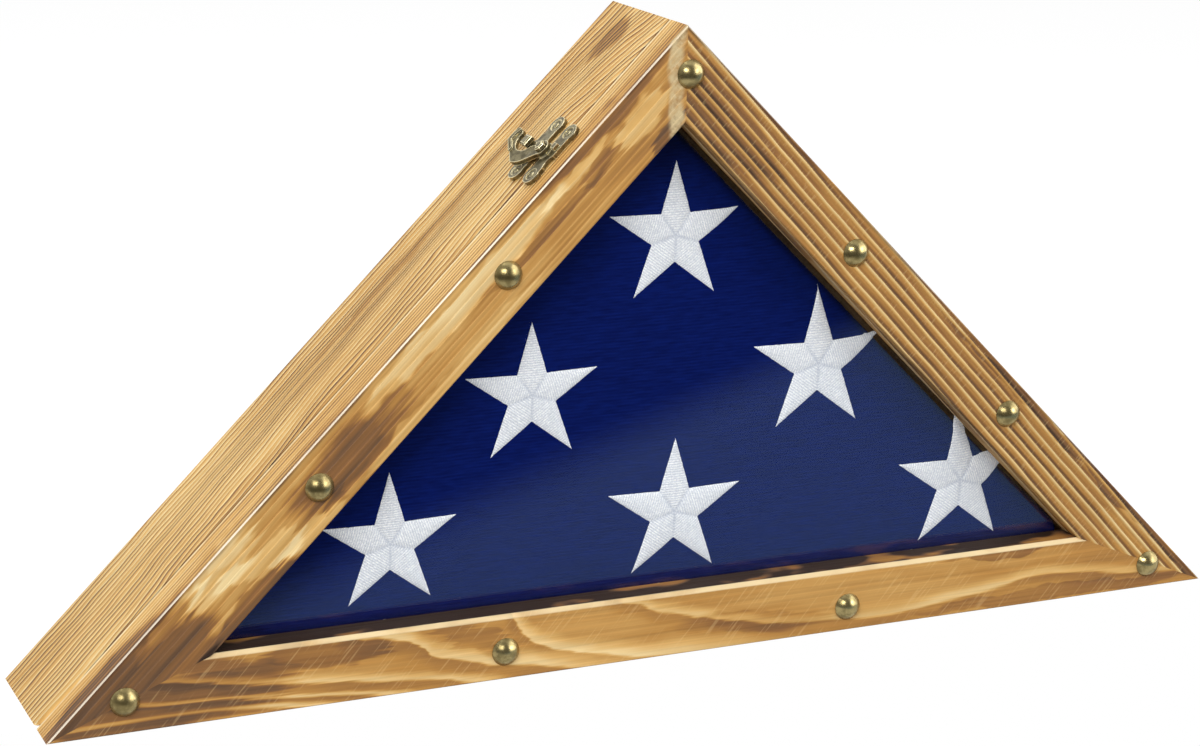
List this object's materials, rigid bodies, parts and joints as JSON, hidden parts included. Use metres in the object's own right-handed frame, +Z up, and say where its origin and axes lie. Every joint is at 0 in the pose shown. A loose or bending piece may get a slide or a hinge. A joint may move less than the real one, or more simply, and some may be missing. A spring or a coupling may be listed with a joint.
{
  "type": "folded flag display case",
  "caption": "Triangular wooden display case that holds a folded flag behind a glazed front, which hinges down from the base and is kept shut by a swing latch.",
  "frame": {"origin": "under the middle of the case at the height of its base", "axes": "+X along the base to the viewer's right, +Y from the front to the back, +Z up to the apex"},
  "size_m": [0.65, 0.0982, 0.325],
  "materials": {
    "torched_pine": "torched and wire-brushed pine, dark in the grain and pale on worn edges, satin",
    "pale_pine": "bare pine strip, matte",
    "back_board": "brown hardboard, matte",
    "clear_glass": "clear picture glass",
    "antique_brass": "dark antique brass with rubbed highlights",
    "zinc_steel": "zinc plated, dull",
    "navy_cotton": "woven cotton, matte",
    "white_thread": "embroidered white thread, matte"
  },
  "bodies": {
    "case": {"case_board_left": "torched_pine", "case_board_right": "torched_pine", "case_board_bottom": "torched_pine", "corner_brads": "zinc_steel", "back_panel": "back_board", "back_panel_brads": "zinc_steel", "sawtooth_hanger": "zinc_steel", "hanger_nails": "zinc_steel", "folded_flag": "navy_cotton", "flag_stars": "white_thread", "hinge_case_leaf_left": "antique_brass", "hinge_case_leaf_right": "antique_brass", "hinge_pin_left": "antique_brass", "hinge_pin_right": "antique_brass", "hinge_case_screws": "antique_brass", "latch_case_plate": "antique_brass", "latch_case_nails": "antique_brass", "latch_knob": "antique_brass"},
    "door": {"door_rail_left": "torched_pine", "door_rail_right": "torched_pine", "door_rail_bottom": "torched_pine", "door_corner_nails": "zinc_steel", "glass_pane": "clear_glass", "glazing_strip_left": "pale_pine", "glazing_strip_right": "pale_pine", "glazing_strip_bottom": "pale_pine", "glazing_brads": "zinc_steel", "face_tacks": "antique_brass", "hinge_door_leaf_left": "antique_brass", "hinge_door_leaf_right": "antique_brass", "hinge_door_screws": "antique_brass", "latch_door_plate": "antique_brass", "latch_door_nails": "antique_brass", "latch_rivet": "antique_brass"},
    "hook": {"latch_hook": "antique_brass"}
  },
  "joints": [
    {"name": "door_hinge", "type": "hinge", "parent": "case", "child": "door", "pos_m": [0, -0.0228, 0.002], "axis": [1, 0, 0], "range_deg": [0, 100]},
    {"name": "hook_pivot", "type": "hinge", "parent": "door", "child": "hook", "pos_m": [-0.06684, -0.0229, 0.26453], "axis": [-0.7071, 0, 0.7071], "range_deg": [0, 95]}
  ]
}
